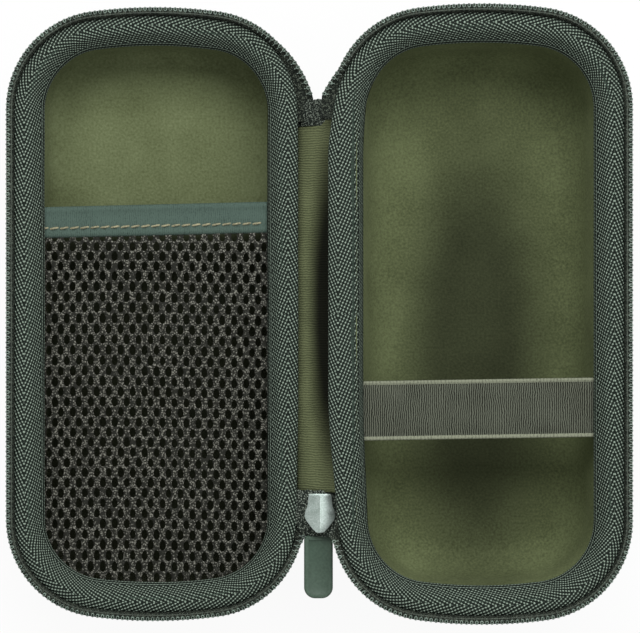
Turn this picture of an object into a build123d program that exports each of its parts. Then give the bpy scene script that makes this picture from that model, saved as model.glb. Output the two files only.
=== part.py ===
"""Zip-up hard case for a small speaker, lying open: a deep base and a shallow lid on a fabric spine."""

from math import asin, atan2, cos, degrees, hypot, radians, sin, sqrt, tan
import os

from build123d import *

os.makedirs("parts", exist_ok=True)

# Shell halves: drafted tubs with straight sides, round corners and bowed ends
shell_width = 90.8
shell_length = 192.8
corner_radius = 29.1
bow_radius = 154.2
draft_angle = 7.0
base_depth = 46.0
lid_depth = 34.0
base_floor_radius = 18.0
lid_floor_radius = 12.0
floor_bands = 4
seat_sides = 5
foam_wall = 4.6
lining_thickness = 0.8

# Zip tape: a flange that stands up outside the rim, a flat part on the rim, a loose inner margin
tape_thickness = 0.6
flange_reach = 1.2
flange_height = 2.8
margin_reach = 3.3
margin_drop = 5.2
zip_top_y = 69.4
zip_end_clearance = 0.5

# Zip teeth: one coil loop each, those of the lid half a pitch on from those of the base
tooth_pitch = 1.58
tooth_width = 0.6
tooth_height = 0.7
tooth_length = 2.6
tooth_root = 0.5
tooth_clearance = 0.15

# Fabric spine, from a fold line on the base's wall to one on the lid's wall
fold_span = 12.46
spine_cover_thickness = 0.6
spine_lining_thickness = 0.6
spine_clearance = 0.3
spine_hem = 0.5
spine_top_y = 62.7
spine_bottom_y = -57.5
end_tab_width = 10.0
end_tab_length = 5.8

# Elastic strap across the base
strap_width = 19.0
strap_thickness = 1.2
strap_y = -30.6
strap_drop = 6.5
strap_tab = 3.0
soft_clearance = 0.3

# Mesh pocket in the lid
pocket_drop = 6.3
net_thickness = 0.8
pocket_mouth_y = 34.7
band_width = 8.5
band_thickness = 1.6
net_pitch_x = 8.2
net_pitch_y = 14.0
gap_width = 4.4
gap_length = 9.0
net_border = 1.4

# Zip slider: two plates on a post, with a bridge for the puller; it parks at the zip's lower end
slider_x = 0.8
slider_y = -64.2
slider_rise = 3.9
slider_width = 9.9
slider_length = 12.4
slider_run = 2.5
bar_offset = -1.9
throat_width = 7.2
widest_y = -0.4
plate_thickness = 1.2
channel_height = 2.0
rail_height = 0.6
rail_width = 0.8
ridge_drop = 0.35
post_width = 3.0
post_length = 4.4
bridge_width = 2.0
bridge_wall = 0.8
bridge_opening = 4.4
bridge_room = 2.0

# Lower end of the zip: the two tapes' joined tail, which runs into the slider's throat
tail_width = 3.0
tail_thickness = 0.8
tail_length = 7.0
tail_gap = 0.3

# Puller: a flat link in the bridge and a moulded grip on it
link_thickness = 1.2
link_bar = 1.0
link_clearance = 0.3
tongue_width = 3.4
tongue_length = 3.0
neck_gap = 0.1
neck_width = 5.4
neck_length = 1.1
grip_width = 9.3
grip_length = 20.3
grip_thickness = 2.2
grip_tip_radius = 3.6
grip_shoulder_radius = 1.4
grip_edge = 0.45
panel_border = 1.5
panel_depth = 0.3
puller_play = -0.5

# Places that follow from the sizes above
slope = tan(radians(draft_angle))
corner_x = shell_width / 2 - corner_radius
bow_y = shell_length / 2 - bow_radius
corner_y = bow_y + sqrt((bow_radius - corner_radius) ** 2 - corner_x**2)
corner_turn = degrees(atan2(corner_y - bow_y, corner_x))
closed_rim_gap = 2 * flange_height + tooth_height + tooth_clearance
spine_thickness = spine_cover_thickness + spine_lining_thickness
spine_drop = base_depth - lid_depth
spine_width = hypot(fold_span, spine_drop)
spine_slope = degrees(atan2(spine_drop, fold_span))
fold_depth = (spine_width - closed_rim_gap) / 2
spine_middle = (base_depth + lid_depth) / 2 - fold_depth
slider_z = spine_middle + slider_rise
half_gap = fold_span / 2 + spine_thickness / 2 + spine_clearance
zip_bottom_y = slider_y - slider_length / 2 - slider_run - zip_end_clearance
shell_x = half_gap + shell_width / 2
liner_inset = foam_wall + lining_thickness


def draw_outline(inset):
    """Closed line parallel to the rim's outer edge and `inset` inside it."""
    side = shell_width / 2 - inset
    corner = corner_radius - inset
    bow = bow_radius - inset
    bow_turn = 180 - 2 * corner_turn
    Line((side, -corner_y), (side, corner_y))
    CenterArc((corner_x, corner_y), corner, 0, corner_turn)
    CenterArc((0, bow_y), bow, corner_turn, bow_turn)
    CenterArc((-corner_x, corner_y), corner, 180 - corner_turn, corner_turn)
    Line((-side, corner_y), (-side, -corner_y))
    CenterArc((-corner_x, -corner_y), corner, 180, corner_turn)
    CenterArc((0, -bow_y), bow, 180 + corner_turn, bow_turn)
    CenterArc((corner_x, -corner_y), corner, -corner_turn, corner_turn)


def draw_zip_run():
    """Open line along the rim's outer edge, from one end of the zip round the far side to the other."""
    top_turn = degrees(asin((zip_top_y - corner_y) / corner_radius))
    end_turn = degrees(asin((-zip_bottom_y - corner_y) / corner_radius))
    bow_turn = 180 - 2 * corner_turn
    side = shell_width / 2
    CenterArc((-corner_x, corner_y), corner_radius, 180 - top_turn, top_turn - corner_turn)
    CenterArc((0, bow_y), bow_radius, 180 - corner_turn, -bow_turn)
    CenterArc((corner_x, corner_y), corner_radius, corner_turn, -corner_turn)
    Line((side, corner_y), (side, -corner_y))
    CenterArc((corner_x, -corner_y), corner_radius, 0, -corner_turn)
    CenterArc((0, -bow_y), bow_radius, -corner_turn, -bow_turn)
    CenterArc((-corner_x, -corner_y), corner_radius, 180 + corner_turn, end_turn - corner_turn)


def room_inside(x, y, inset):
    """Distance from a point to the outline that lies `inset` inside the rim's outer edge."""
    to_side = shell_width / 2 - abs(x)
    to_bow = bow_radius - hypot(x, abs(y) - bow_y)
    if abs(x) > corner_x and abs(y) > corner_y:
        to_side = corner_radius - hypot(abs(x) - corner_x, abs(y) - corner_y)
    return min(to_side, to_bow) - inset


def draw_seat(inset):
    """The same line with flat sides round its corners and bows, for the hidden seat of the lining."""
    corner = corner_radius - inset
    bow = bow_radius - inset
    quarter = []
    for i in range(seat_sides + 1):
        turn = radians(i * corner_turn / seat_sides)
        quarter.append((corner_x + corner * cos(turn), corner_y + corner * sin(turn)))
    middle = (0, bow_y + bow)
    upper = quarter + [middle] + [(-x, y) for x, y in reversed(quarter)]
    lower = [(-x, -y) for x, y in upper]
    Polyline(*upper, *lower, close=True)


def tub(depth, floor_radius, inset, draw_plan=draw_outline):
    """Solid drafted tub whose wall and floor lie `inset` inside a shell's outer faces.

    It is drawn rim down, as a drafted wall and the bands that round off the floor, then turned over.
    """
    radius = floor_radius - inset
    turn = (90 - draft_angle) / floor_bands
    steps = [(depth - inset - radius * (1 - sin(radians(draft_angle))), draft_angle)]
    for i in range(floor_bands):
        lean = draft_angle + i * turn
        steps.append((radius * (sin(radians(lean + turn)) - sin(radians(lean))), lean + turn / 2))
    with BuildPart() as body:
        height = 0
        reach = inset
        for rise, lean in steps:
            with BuildSketch(Plane.XY.offset(height)):
                with BuildLine():
                    draw_plan(reach)
                make_face()
            extrude(amount=rise, taper=lean)
            height += rise
            reach += rise * tan(radians(lean))
    return Pos(shell_x, 0, depth) * Rot(X=180) * body.part


def zip_path(depth):
    """Line that the zip follows on the rim of a shell of this depth."""
    with BuildLine(Plane((shell_x, 0, depth))) as path:
        draw_zip_run()
    return path.wires()[0]


def tape_ring(depth):
    """Tape that lies on the rim all round, with its loose inner margin."""
    with BuildPart() as ring:
        with BuildLine(Plane((shell_x, 0, depth))) as rim:
            draw_outline(0)
        start = (shell_x + shell_width / 2, -corner_y, depth)
        with BuildSketch(Plane(start, x_dir=(1, 0, 0), z_dir=(0, -1, 0))):
            with BuildLine():
                Polyline(
                    (0, 0),
                    (0, tape_thickness),
                    (-liner_inset - tape_thickness / 2, tape_thickness),
                    (-liner_inset - margin_reach - tape_thickness, -margin_drop),
                    (-liner_inset - margin_reach, -margin_drop),
                    (-liner_inset, 0),
                    close=True,
                )
            make_face()
        sweep(path=rim.wires()[0])
    return ring.part


def tape_flange(depth):
    """Tape edge that stands up outside the rim along the zip's run and carries the teeth."""
    path = zip_path(depth)
    start = path @ 0
    run = path % 0
    out = Vector(0, 0, 1).cross(run)
    with BuildPart() as flange:
        with BuildSketch(Plane(start, x_dir=out, z_dir=run)):
            with BuildLine():
                Polyline(
                    (0, 0),
                    (0, tape_thickness),
                    (flange_reach, flange_height),
                    (flange_reach + tape_thickness, flange_height),
                    (tape_thickness / 2, 0),
                    close=True,
                )
            make_face()
        sweep(path=path)
    return flange.part


def teeth(depth, shift):
    """Row of coil teeth along the zip's run, `shift` of a pitch from its start."""
    path = zip_path(depth)
    count = int(path.length / tooth_pitch) - 1
    planes = []
    for i in range(count):
        place = (i + shift) * tooth_pitch
        run = path.tangent_at(place, position_mode=PositionMode.LENGTH)
        out = Vector(0, 0, 1).cross(run)
        root = path.position_at(place, position_mode=PositionMode.LENGTH) + out * tooth_root
        planes.append(Plane(root, x_dir=-run, z_dir=out))
    with BuildPart() as row:
        with BuildSketch(*planes):
            with BuildLine():
                Polyline(
                    (-tooth_width / 2, flange_height),
                    (tooth_width / 2, flange_height),
                    (0, flange_height + tooth_height),
                    close=True,
                )
            make_face()
        extrude(amount=tooth_length)
    return row.part


# Nested tubs: outer face, foam's inner face and lining's inner face of each half
base_outside = tub(base_depth, base_floor_radius, 0)
base_middle = tub(base_depth, base_floor_radius, foam_wall, draw_seat)
base_inside = tub(base_depth, base_floor_radius, liner_inset)
lid_outside = tub(lid_depth, lid_floor_radius, 0)
lid_middle = tub(lid_depth, lid_floor_radius, foam_wall, draw_seat)
lid_inside = tub(lid_depth, lid_floor_radius, liner_inset)

# Base: moulded foam shell with its bonded cover, and the lining in it
with BuildPart() as base_shell:
    add(base_outside)
    add(base_middle, mode=Mode.SUBTRACT)

with BuildPart() as base_lining:
    add(base_middle)
    add(base_inside, mode=Mode.SUBTRACT)

with BuildPart() as base_zip_tape:
    add(tape_ring(base_depth))
    add(tape_flange(base_depth))

with BuildPart() as base_zip_teeth:
    add(teeth(base_depth, 0.5))

# Elastic strap: a flat run between the base's long walls, its ends turned up against the lining
strap_z = base_depth - strap_drop
strap_half = shell_width / 2 - liner_inset - strap_drop * slope - soft_clearance
tab_half = strap_half + strap_tab * slope
strap_start = (shell_x, strap_y - strap_width / 2, strap_z)
with BuildPart() as elastic_strap:
    with BuildSketch(Plane(strap_start, x_dir=(1, 0, 0), z_dir=(0, -1, 0))):
        with BuildLine():
            Polyline(
                (-strap_half, -strap_thickness),
                (strap_half, -strap_thickness),
                (tab_half, strap_tab),
                (tab_half - strap_thickness, strap_tab),
                (strap_half - strap_thickness, 0),
                (strap_thickness - strap_half, 0),
                (strap_thickness - tab_half, strap_tab),
                (-tab_half, strap_tab),
                close=True,
            )
        make_face()
    extrude(amount=-strap_width)

# Lid: the same construction, shallower and mirrored across the spine
with BuildPart() as lid_shell:
    add(mirror(lid_outside, about=Plane.YZ))
    add(mirror(lid_middle, about=Plane.YZ), mode=Mode.SUBTRACT)

with BuildPart() as lid_lining:
    add(mirror(lid_middle, about=Plane.YZ))
    add(mirror(lid_inside, about=Plane.YZ), mode=Mode.SUBTRACT)

with BuildPart() as lid_zip_tape:
    add(mirror(tape_ring(lid_depth), about=Plane.YZ))
    add(mirror(tape_flange(lid_depth), about=Plane.YZ))

with BuildPart() as lid_zip_teeth:
    add(mirror(teeth(lid_depth, 1.0), about=Plane.YZ))

# Pocket: a flat net below the lid's rim, edged by an elastic band at its mouth
pocket_z = lid_depth - pocket_drop
net_inset = liner_inset + pocket_drop * slope + soft_clearance
net_top_y = pocket_mouth_y - band_width
net_rows = int(shell_length / net_pitch_y) + 1
net_columns = int(shell_width / net_pitch_x) + 1
gap_corners = ((gap_width / 2, 0), (0, gap_length / 2), (-gap_width / 2, 0), (0, -gap_length / 2))


def net_gap_places():
    """Centres of the net's gaps, in staggered rows, that lie clear of its edges."""
    places = []
    for row in range(-net_rows, net_rows + 1):
        for column in range(-net_columns, net_columns + 1):
            x = (column + row % 2 / 2) * net_pitch_x
            y = row * net_pitch_y / 2
            reach = y + gap_length / 2 if y > 0 else y - gap_length / 2
            room = min(room_inside(x, reach, net_inset), room_inside(x, y, net_inset) - gap_width / 2)
            if room > net_border and y + gap_length / 2 < net_top_y - net_border:
                places.append((x, y))
    return places


with BuildPart() as pocket_mesh:
    with BuildSketch(Plane((-shell_x, 0, pocket_z))):
        with BuildLine():
            draw_outline(net_inset)
        make_face()
        with Locations((0, net_top_y)):
            Rectangle(shell_width, shell_length, align=(Align.CENTER, Align.MAX), mode=Mode.INTERSECT)
        with Locations(*net_gap_places()):
            Polygon(*gap_corners, mode=Mode.SUBTRACT)
    extrude(amount=-net_thickness)

with BuildPart() as pocket_band:
    with BuildSketch(Plane((-shell_x, 0, pocket_z - net_thickness))):
        with Locations((0, net_top_y)):
            Rectangle(shell_width - 2 * net_inset, band_width, align=(Align.CENTER, Align.MIN))
    extrude(amount=band_thickness)
    fillet(pocket_band.edges().filter_by(Axis.X).group_by(Axis.Y)[-1], radius=band_thickness / 3)

# Spine: cover outside, ribbed lining inside, hung between the two fold lines
spine_length = spine_top_y - spine_bottom_y
spine_y = (spine_top_y + spine_bottom_y) / 2
spine_run = (-cos(radians(spine_slope)), 0, -sin(radians(spine_slope)))
spine_face = (-sin(radians(spine_slope)), 0, cos(radians(spine_slope)))
spine_sheet_width = spine_width + 2 * spine_hem

with BuildPart() as spine_cover:
    with BuildSketch(Plane((0, spine_y, spine_middle), x_dir=spine_run, z_dir=spine_face)):
        Rectangle(spine_sheet_width, spine_length)
    extrude(amount=-spine_cover_thickness)

with BuildPart() as spine_lining:
    with BuildSketch(Plane((0, spine_y, spine_middle), x_dir=spine_run, z_dir=spine_face)):
        Rectangle(spine_sheet_width, spine_length)
    extrude(amount=spine_lining_thickness)

end_tab_y = spine_top_y + end_tab_length / 2
with BuildPart() as zip_end_tab_top:
    with BuildSketch(Plane((0, end_tab_y, spine_middle), x_dir=spine_run, z_dir=spine_face)) as tab_plan:
        Rectangle(end_tab_width, end_tab_length)
        fillet(tab_plan.vertices().group_by(Axis.Y)[-1], radius=end_tab_length / 4)
    extrude(amount=spine_thickness / 2, both=True)

# Slider: plates with turned-in rails, a wedge-shaped post at the nose, and the puller's bridge
slider_top_z = slider_z + channel_height / 2
slider_low_z = slider_z - channel_height / 2
slider_face_z = slider_top_z + plate_thickness
slider_back_z = slider_low_z - plate_thickness
nose_y = -slider_length / 2
throat_y = slider_length / 2
bridge_height = bridge_room + bridge_wall
bar_drop = bridge_room - link_thickness / 2 - link_clearance
bar_z = slider_back_z - bar_drop
bar_y = slider_y + bar_offset
bar_sweep = hypot(link_bar, link_thickness) / 2
bridge_low_y = -bar_sweep - link_clearance


def draw_plate(inset):
    """Plan of a slider plate: straight sides that widen from the throat to a round nose."""
    wide = slider_width / 2 - inset
    narrow = throat_width / 2 - inset
    Line((-narrow, throat_y), (narrow, throat_y))
    Line((narrow, throat_y), (wide, widest_y))
    ThreePointArc((wide, widest_y), (0, nose_y + inset), (-wide, widest_y))
    Line((-wide, widest_y), (-narrow, throat_y))


post_corners = ((-post_width / 2, 0), (post_width / 2, 0), (0, post_length))
slider_end = Plane((slider_x, slider_y + throat_y, slider_face_z), x_dir=(-1, 0, 0), z_dir=(0, 1, 0))
with BuildPart() as slider_body:
    with BuildSketch(Plane((slider_x, slider_y, slider_back_z))):
        with BuildLine():
            draw_plate(0)
        make_face()
    extrude(amount=2 * plate_thickness + channel_height)
    with BuildSketch(Plane((slider_x, slider_y, slider_low_z))):
        Rectangle(2 * slider_width, 2 * slider_length)
        with Locations((0, nose_y + rail_width)):
            Polygon(*post_corners, align=None, mode=Mode.SUBTRACT)
    extrude(amount=channel_height, mode=Mode.SUBTRACT)
    for rail_plane, rail_side in ((slider_low_z, 1), (slider_top_z, -1)):
        with BuildSketch(Plane((slider_x, slider_y, rail_plane))):
            with BuildLine():
                draw_plate(0)
            make_face()
            with BuildLine():
                draw_plate(rail_width)
            make_face(mode=Mode.SUBTRACT)
            with Locations((0, throat_y), (0, nose_y)):
                Rectangle(2 * slider_width, slider_length / 2, mode=Mode.SUBTRACT)
        extrude(amount=rail_side * rail_height)
    with BuildSketch(slider_end):
        for far_x in (-slider_width, slider_width):
            Polygon((0, 0), (far_x, 0), (far_x, -2 * ridge_drop), align=None)
    extrude(amount=-slider_length, mode=Mode.SUBTRACT)
    with BuildSketch(Plane((slider_x, bar_y, slider_back_z), x_dir=(0, 1, 0), z_dir=(1, 0, 0))):
        with Locations((bridge_low_y - bridge_wall, 0)):
            Rectangle(bridge_opening + 2 * bridge_wall, bridge_height, align=(Align.MIN, Align.MAX))
        with Locations((bridge_low_y, 0)):
            Rectangle(bridge_opening, bridge_room, align=(Align.MIN, Align.MAX), mode=Mode.SUBTRACT)
    extrude(amount=bridge_width / 2, both=True)
    fillet(slider_body.edges().filter_by(Axis.X).group_by(Axis.Z)[0], radius=bridge_wall / 2)

# Tail of the joined tapes, flat in the slider's channel and clear of the post over the slider's run
with BuildPart() as zip_end_tab_bottom:
    with BuildSketch(Plane((slider_x, spine_bottom_y - tail_gap, slider_z))):
        Rectangle(tail_width, tail_length, align=(Align.CENTER, Align.MAX))
    extrude(amount=tail_thickness / 2, both=True)

# Puller link: a flat ring whose bar turns in the bridge, with a tongue for the grip
puller_x = slider_x + puller_play
neck_y = slider_y + nose_y - neck_gap
link_slot_width = bridge_width + 2 * (abs(puller_play) + link_clearance)
link_slot_length = hypot(bridge_wall - bridge_low_y, bridge_height - bar_drop) + link_clearance
link_length = bar_y - neck_y
with BuildPart() as puller_link:
    with BuildSketch(Plane((puller_x, bar_y, bar_z - link_thickness / 2))):
        with Locations((0, link_bar / 2)):
            Rectangle(neck_width, link_length + link_bar / 2, align=(Align.CENTER, Align.MAX))
        with Locations((0, -link_length)):
            Rectangle(tongue_width, tongue_length, align=(Align.CENTER, Align.MAX))
        with Locations((0, -link_bar / 2)):
            Rectangle(link_slot_width, link_slot_length, align=(Align.CENTER, Align.MAX), mode=Mode.SUBTRACT)
    extrude(amount=link_thickness)

# Puller grip: moulded over the link's tongue, with a bare sunk panel on each face
panel_width = grip_width - 2 * panel_border
panel_length = grip_length - 2 * panel_border
with BuildPart() as puller_grip:
    with BuildSketch(Plane((puller_x, neck_y - neck_length, bar_z - grip_thickness / 2))) as grip_plan:
        Rectangle(grip_width, grip_length, align=(Align.CENTER, Align.MAX))
        fillet(grip_plan.vertices().group_by(Axis.Y)[0], radius=grip_tip_radius)
        fillet(grip_plan.vertices().group_by(Axis.Y)[-1], radius=grip_shoulder_radius)
        Rectangle(neck_width, neck_length, align=(Align.CENTER, Align.MIN))
    extrude(amount=grip_thickness)
    grip_rims = puller_grip.edges().group_by(Axis.Z)
    chamfer(grip_rims[0] + grip_rims[-1], length=grip_edge)
    for face_side in (-1, 1):
        panel_z = bar_z + face_side * grip_thickness / 2
        with BuildSketch(Plane((puller_x, neck_y - neck_length - panel_border, panel_z))) as panel:
            Rectangle(panel_width, panel_length, align=(Align.CENTER, Align.MAX))
            fillet(panel.vertices().group_by(Axis.Y)[0], radius=grip_tip_radius - panel_border)
        extrude(amount=-face_side * panel_depth, mode=Mode.SUBTRACT)
    add(puller_link.part, mode=Mode.SUBTRACT)

pieces = {
    "base_shell": base_shell,
    "base_lining": base_lining,
    "base_zip_tape": base_zip_tape,
    "base_zip_teeth": base_zip_teeth,
    "elastic_strap": elastic_strap,
    "lid_shell": lid_shell,
    "lid_lining": lid_lining,
    "lid_zip_tape": lid_zip_tape,
    "lid_zip_teeth": lid_zip_teeth,
    "pocket_mesh": pocket_mesh,
    "pocket_band": pocket_band,
    "spine_cover": spine_cover,
    "spine_lining": spine_lining,
    "zip_end_tab_top": zip_end_tab_top,
    "zip_end_tab_bottom": zip_end_tab_bottom,
    "slider_body": slider_body,
    "puller_link": puller_link,
    "puller_grip": puller_grip,
}
for name, piece in pieces.items():
    piece.part.label = name
    export_step(piece.part, f"parts/{name}.step")
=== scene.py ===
# %% [markdown]
# This lesson dresses a small zip-up hard case that lies open: a deep base on the right, a shallow lid with
# a net pocket on the left, and a fabric spine between them. The CAD model is loaded first as a fixed frame.
# Its sizes are read from the frame, so that every cloth and every casting goes where the model says.

# %% The frame
import math
import random

import bmesh
import bpy
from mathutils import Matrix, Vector


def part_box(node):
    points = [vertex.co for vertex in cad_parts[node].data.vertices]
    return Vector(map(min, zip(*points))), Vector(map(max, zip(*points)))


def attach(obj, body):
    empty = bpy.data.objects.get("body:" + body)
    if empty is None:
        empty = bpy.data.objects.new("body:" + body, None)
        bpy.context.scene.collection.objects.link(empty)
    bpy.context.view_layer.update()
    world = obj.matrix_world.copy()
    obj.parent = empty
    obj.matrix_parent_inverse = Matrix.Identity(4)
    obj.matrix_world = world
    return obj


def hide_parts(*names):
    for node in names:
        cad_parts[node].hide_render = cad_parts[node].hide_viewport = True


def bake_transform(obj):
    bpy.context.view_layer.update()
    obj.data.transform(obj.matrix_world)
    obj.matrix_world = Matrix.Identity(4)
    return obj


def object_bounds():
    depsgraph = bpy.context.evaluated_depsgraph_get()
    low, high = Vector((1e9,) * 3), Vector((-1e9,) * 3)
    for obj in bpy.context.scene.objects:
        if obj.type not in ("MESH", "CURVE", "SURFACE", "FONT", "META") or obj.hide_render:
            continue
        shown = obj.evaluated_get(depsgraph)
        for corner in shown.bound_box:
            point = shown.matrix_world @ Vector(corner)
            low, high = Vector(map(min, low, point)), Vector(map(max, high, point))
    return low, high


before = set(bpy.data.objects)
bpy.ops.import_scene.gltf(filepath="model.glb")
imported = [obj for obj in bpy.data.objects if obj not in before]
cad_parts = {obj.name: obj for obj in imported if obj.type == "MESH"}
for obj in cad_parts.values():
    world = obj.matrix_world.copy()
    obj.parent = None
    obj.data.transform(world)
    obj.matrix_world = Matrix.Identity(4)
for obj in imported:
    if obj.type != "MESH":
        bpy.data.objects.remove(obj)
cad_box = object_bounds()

MM = 0.001
random.seed(11)
shell_low, shell_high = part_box("base_shell")
_, lid_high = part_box("lid_shell")
half_width = (shell_high.x - shell_low.x) / 2
half_length = (shell_high.y - shell_low.y) / 2
shell_x = (shell_high.x + shell_low.x) / 2
base_rim = shell_high.z
lid_rim = lid_high.z
print("half of the case, mm:", round(half_width / MM, 2), round(half_length / MM, 2), "rims", base_rim, lid_rim)

# %% [markdown]
# The camera hangs about a metre above the open case and looks straight down, with a long lens, so that both
# halves are seen flat, as on a catalogue page. The lens follows from the width of the view at the base's rim.

# %% Camera
def add_object(name, data):
    """New object with this data, linked into the scene."""
    added = bpy.data.objects.new(name, data)
    bpy.context.collection.objects.link(added)
    return added


camera_data = bpy.data.cameras.new("catalogue_camera")
camera_data.sensor_width = 36.0
camera_data.lens = 175.8
camera = add_object("catalogue_camera", camera_data)
camera.location = (0.8 * MM, -0.8 * MM, 1.046)
bpy.context.scene.camera = camera
print("camera", tuple(camera.location), "lens", camera_data.lens)

# %% [markdown]
# A few small helpers serve every finish. One turns a colour written as sRGB hex into linear values, and one
# adds a node and fills or links its inputs. Every finish ends the same way: a tone runs between two colours, a
# height gives the bump, and the other inputs are set.

# %% Helpers for finishes
def colour(code):
    """Linear colour of an sRGB hex code."""
    parts = [int(code[i : i + 2], 16) / 255 for i in (1, 3, 5)]
    linear = [c / 12.92 if c <= 0.04045 else ((c + 0.055) / 1.055) ** 2.4 for c in parts]
    return (*linear, 1.0)


def set_inputs(tree, node, inputs):
    """Links each input that is given a socket or a node, which stands for its first output, and sets the others."""
    for key, value in dict(inputs).items():
        if isinstance(value, bpy.types.Node):
            value = value.outputs[0]
        if isinstance(value, bpy.types.NodeSocket):
            tree.links.new(value, node.inputs[key])
        else:
            node.inputs[key].default_value = value


def add_node(tree, kind, inputs=(), operation=None, **settings):
    """Node of this kind with its inputs, its operation if it has one, and its other settings."""
    new = tree.nodes.new("ShaderNode" + kind)
    if operation:
        new.operation = operation
    for key, value in settings.items():
        setattr(new, key, value)
    set_inputs(tree, new, inputs)
    return new


def new_finish(name, on_cloth):
    """Empty material, its node tree and a place: on the cloth's UV map, in metres, or else in the object's space."""
    material = bpy.data.materials.new(name)
    material.use_nodes = True
    tree = material.node_tree
    place = add_node(tree, "UVMap", uv_map="cloth") if on_cloth else add_node(tree, "TexCoord").outputs["Object"]
    return material, tree, place


def wave(tree, value, pitch):
    """Sine wave of this pitch over a value."""
    turn = add_node(tree, "Math", {0: value, 1: 2 * math.pi / pitch}, "MULTIPLY")
    return add_node(tree, "Math", {0: turn}, "SINE")


def tone_field(tree, place, middle, radii, tone, inner, outer):
    """Painted shade: 1 outside an ellipse round this middle, tone inside it, changing smoothly between two shares of
    its radii.
    """
    shifted = add_node(tree, "VectorMath", {0: place, 1: [-value * MM for value in (*middle, 0)]}, "ADD")
    share = [1 / (value * MM) for value in radii] + [0.0]
    scaled = add_node(tree, "VectorMath", {0: shifted, 1: share}, "MULTIPLY")
    away = add_node(tree, "VectorMath", {0: scaled}, "LENGTH")
    change = {0: away.outputs["Value"], 1: inner, 2: outer, 3: tone, 4: 1.0}
    return add_node(tree, "MapRange", change, interpolation_type="SMOOTHSTEP")


def dress(material, tone, colours, stops, relief, rough, gloss=0.5, shade=None, others=()):
    """Ends a finish: tone runs between two colours over these stops, relief is the bump's height, strength and
    depth, and shade is painted shade that darkens the colours."""
    tree = material.node_tree
    ramp = add_node(tree, "ValToRGB", {0: tone})
    for end, code, stop in zip(ramp.color_ramp.elements, colours, stops):
        end.color = colour(code)
        end.position = stop
    shaded = ramp if shade is None else add_node(tree, "MixRGB", {0: 1.0, 1: ramp, 2: shade}, blend_type="MULTIPLY")
    bump = add_node(tree, "Bump", dict(zip(("Height", "Strength", "Distance"), relief)))
    surface = {"Base Color": shaded, "Normal": bump, "Roughness": rough, "Specular IOR Level": gloss}
    set_inputs(tree, tree.nodes["Principled BSDF"], {**surface, **dict(others)})
    print("finish:", material.name)
    return material


print("helpers ready")

# %% [markdown]
# The zip's tape is a polyester twill whose rib turns back along one line, a herringbone: ropes of bright yarn
# beads with dark gaps. The pattern reads the piece's UV map, in metres: U along the tape, V across it. The
# real yarns are 0.3 mm apart, too fine for this view, so ribs and beads are drawn about 1 mm wide. Beyond
# V = edge the selvage has no twill, only a few straight cords.

# %% Herringbone tape
rib_pitch = 2.5 * MM
rib_slope = 2.25
bead_pitch = 1.15 * MM
bead_slope = -0.45
cord_pitch = 0.9 * MM
rib_sway = 1.1 * MM


def twill_tape(name, colours, turn_back, edge):
    """Woven twill with its ribs turned back at V = turn_back and a corded selvage beyond V = edge."""
    material, tree, cloth = new_finish(name, on_cloth=True)
    wobble = add_node(tree, "TexNoise", {"Vector": cloth, "Scale": 300.0, "Detail": 1.0})
    along, over = add_node(tree, "SeparateXYZ", {0: cloth}).outputs[:2]
    away = add_node(tree, "Math", {0: over, 1: turn_back}, "SUBTRACT")
    across = add_node(tree, "Math", {0: away}, "ABSOLUTE")
    lean = add_node(tree, "Math", {0: across, 1: rib_slope, 2: along}, "MULTIPLY_ADD")
    drift = add_node(tree, "Math", {0: wobble, 1: rib_sway, 2: lean}, "MULTIPLY_ADD")
    bead_lean = add_node(tree, "Math", {0: across, 1: bead_slope, 2: along}, "MULTIPLY_ADD")
    bead = wave(tree, bead_lean, bead_pitch)
    twill = add_node(tree, "Math", {0: bead, 1: 0.65, 2: wave(tree, drift, rib_pitch)}, "MULTIPLY_ADD")
    cords = add_node(tree, "Math", {0: bead, 1: 0.35, 2: wave(tree, over, cord_pitch)}, "MULTIPLY_ADD")
    at_edge = add_node(tree, "Math", {0: over, 1: edge}, "GREATER_THAN")
    woven = add_node(tree, "Mix", {0: at_edge, 2: twill, 3: cords})
    tone = add_node(tree, "MapRange", {0: woven, 1: -0.25, 2: 1.75, 3: 0.0, 4: 1.0})
    fibre = add_node(tree, "TexNoise", {"Vector": cloth, "Scale": 1500.0, "Detail": 2.0})
    mottle = add_node(tree, "Math", {0: fibre, 1: 0.5, 2: -0.25}, "MULTIPLY_ADD")
    level = add_node(tree, "Math", {0: tone, 1: mottle}, "ADD", use_clamp=True)
    return dress(material, level, colours, (0.2, 1.0), (woven, 0.6, 0.3 * MM), rough=0.7, gloss=0.2)


tape_finish = twill_tape("polyester twill tape, woven herringbone", ("#121b15", "#9cae9e"), 7.1 * MM, 14.0 * MM)

# %% [markdown]
# The linings are brushed velvet: a short soft pile on a knit. It brightens where it is seen at a slant, which
# the sheen gives, and it is never quite even, so a broad mottle and a fine grain change its tone. It has no
# direction, so solid noise serves walls and floor alike. The fibres are far below the view, so the grain is
# 0.8 mm. Painted shade darkens the middle of the deep half's floor and the lid's floor behind the pocket.

# %% Velvet linings
def velvet(name, colours, middle, radii, shade_tone, inner=0.3, outer=1.0):
    """Short-piled lining with painted shade: darker inside an ellipse round this middle, in millimetres."""
    material, tree, place = new_finish(name, on_cloth=False)
    broad = add_node(tree, "TexNoise", {"Vector": place, "Scale": 60.0, "Detail": 3.0})
    fine = add_node(tree, "TexNoise", {"Vector": place, "Scale": 1300.0, "Detail": 3.0})
    grain = add_node(tree, "Math", {0: fine, 1: 0.7, 2: -0.1}, "MULTIPLY_ADD")
    tone = add_node(tree, "Math", {0: broad, 1: 0.4, 2: grain}, "MULTIPLY_ADD")
    painted_shade = tone_field(tree, place, middle, radii, shade_tone, inner, outer)
    sheen = {"Sheen Weight": 0.25, "Sheen Roughness": 0.5, "Sheen Tint": colour("#8c9470")}
    return dress(material, tone, colours, (0.25, 0.7), (fine, 0.35, 0.3 * MM), 0.95, 0.15, painted_shade, sheen)


# Both darker ellipses are painted shade: over the middle of the deep half's floor, and over the lid's floor behind the
# pocket.
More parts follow.
